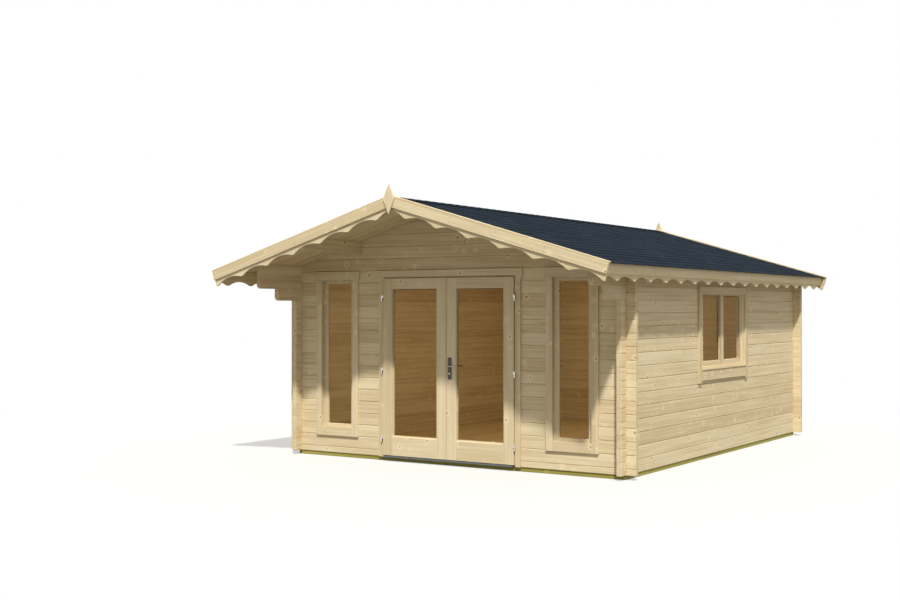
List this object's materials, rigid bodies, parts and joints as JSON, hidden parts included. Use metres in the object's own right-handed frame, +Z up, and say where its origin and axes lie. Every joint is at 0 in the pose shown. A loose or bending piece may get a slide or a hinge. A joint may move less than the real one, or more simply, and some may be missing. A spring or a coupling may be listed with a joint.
{
  "type": "log cabin",
  "caption": "Garden log cabin with interlocking corners, a gable roof with a front canopy, scalloped verge and eave boards, tall front windows and a glazed double door.",
  "frame": {"origin": "on the ground under the middle of the roof, at the bottom centre of the bounding box", "axes": "+Z up, -Y towards the front with the double door, +X to the right as seen from the front"},
  "size_m": [4.93, 6.746, 2.9732],
  "materials": {
    "log_timber": "planed raw softwood",
    "trim_timber": "planed raw softwood",
    "board_timber": "tongued softwood boards",
    "treated_timber": "pressure treated, olive green",
    "roofing": "mineral felt, blue black",
    "glass": "clear",
    "threshold_metal": "mill finish",
    "hinge_metal": "zinc plated",
    "handle_metal": "dark bronze"
  },
  "bodies": {
    "cabin": {"back_bargeboards": "trim_timber", "back_gable_logs": "log_timber", "back_scalloped_boards": "trim_timber", "back_wall_logs": "log_timber", "door_casing": "trim_timber", "door_frame": "trim_timber", "door_threshold": "threshold_metal", "eave_fascias": "trim_timber", "eave_scalloped_boards": "trim_timber", "finials": "trim_timber", "floor_deck": "board_timber", "floor_joists": "treated_timber", "frame_hinges": "hinge_metal", "front_bargeboards": "trim_timber", "front_gable_logs": "log_timber", "front_scalloped_boards": "trim_timber", "front_wall_head_log": "log_timber", "front_wall_left_corner_logs": "log_timber", "front_wall_left_pier_logs": "log_timber", "front_wall_lintel_log": "log_timber", "front_wall_lower_logs": "log_timber", "front_wall_right_corner_logs": "log_timber", "front_wall_right_pier_logs": "log_timber", "front_window_casings": "trim_timber", "front_window_frames": "trim_timber", "front_window_glass": "glass", "left_roof_deck": "board_timber", "left_roofing": "roofing", "left_wall_logs": "log_timber", "perimeter_bearers": "treated_timber", "ridge_purlin": "log_timber", "right_roof_deck": "board_timber", "right_roofing": "roofing", "right_wall_front_logs": "log_timber", "right_wall_lower_logs": "log_timber", "right_wall_rear_logs": "log_timber", "right_wall_upper_logs": "log_timber", "side_purlins": "log_timber", "side_window_casing": "trim_timber", "side_window_frame": "trim_timber", "side_window_glass": "glass", "side_window_sashes": "trim_timber", "side_window_sill": "trim_timber", "verge_caps": "trim_timber"},
    "left_door": {"left_door_leaf": "trim_timber", "left_door_glass": "glass", "left_door_hinges": "hinge_metal"},
    "right_door": {"right_door_leaf": "trim_timber", "right_door_glass": "glass", "right_door_hinges": "hinge_metal", "handle_plates": "handle_metal"},
    "lever": {"door_lever": "handle_metal"}
  },
  "joints": [
    {"name": "left_door_swing", "type": "hinge", "parent": "cabin", "child": "left_door", "pos_m": [-0.862, -2.314, 1.015], "axis": [0, 0, -1], "range_deg": [0, 110]},
    {"name": "right_door_swing", "type": "hinge", "parent": "cabin", "child": "right_door", "pos_m": [0.862, -2.314, 1.015], "axis": [0, 0, 1], "range_deg": [0, 110]},
    {"name": "lever_turn", "type": "hinge", "parent": "right_door", "child": "lever", "pos_m": [0.048, -2.307, 1.085], "axis": [0, 1, 0], "range_deg": [0, 40], "stiffness_Nm_per_rad": 1, "springref_deg": -34.38}
  ]
}
